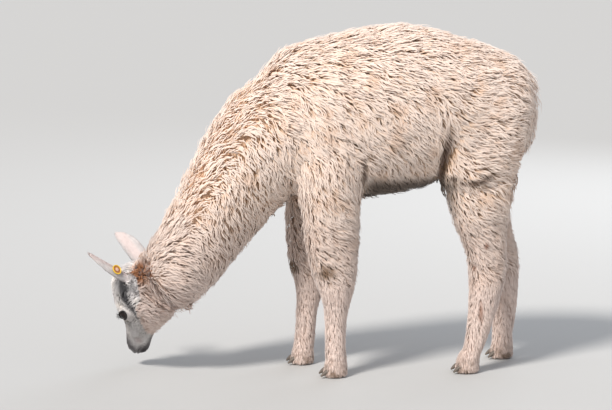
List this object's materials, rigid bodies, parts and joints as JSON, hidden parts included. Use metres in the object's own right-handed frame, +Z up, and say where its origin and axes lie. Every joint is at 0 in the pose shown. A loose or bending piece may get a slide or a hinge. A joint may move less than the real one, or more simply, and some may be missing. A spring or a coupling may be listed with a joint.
{
  "type": "llama model",
  "caption": "Life-size still model of a young woolly cream llama, grazing with its head down, with a round button tag on its left ear.",
  "frame": {"origin": "on the floor, under the middle of the model's box", "axes": "+Y towards the tail, +X towards the animal's left, +Z up; the animal faces -Y"},
  "size_m": [0.417, 1.3416, 1.0389],
  "materials": {
    "cream_fleece": "dense curly fleece",
    "pale_short_hair": "short dense hair",
    "dark_horn": "worn horn",
    "dark_eye": "wet and glossy",
    "yellow_plastic": "moulded plastic"
  },
  "bodies": {
    "root": {"trunk": "cream_fleece", "neck": "cream_fleece", "tail": "cream_fleece", "head": "pale_short_hair", "ear_left": "pale_short_hair", "eye_left": "dark_eye", "ear_right": "pale_short_hair", "eye_right": "dark_eye", "ear_tag": "yellow_plastic", "foreleg_left_upper": "cream_fleece", "foreleg_left_cannon": "cream_fleece", "foreleg_left_foot": "cream_fleece", "foreleg_left_nail_inner": "dark_horn", "foreleg_left_nail_outer": "dark_horn", "foreleg_right_upper": "cream_fleece", "foreleg_right_cannon": "cream_fleece", "foreleg_right_foot": "cream_fleece", "foreleg_right_nail_inner": "dark_horn", "foreleg_right_nail_outer": "dark_horn", "hindleg_left_thigh": "cream_fleece", "hindleg_left_cannon": "cream_fleece", "hindleg_left_foot": "cream_fleece", "hindleg_left_nail_inner": "dark_horn", "hindleg_left_nail_outer": "dark_horn", "hindleg_right_thigh": "cream_fleece", "hindleg_right_cannon": "cream_fleece", "hindleg_right_foot": "cream_fleece", "hindleg_right_nail_inner": "dark_horn", "hindleg_right_nail_outer": "dark_horn"}
  },
  "joints": []
}
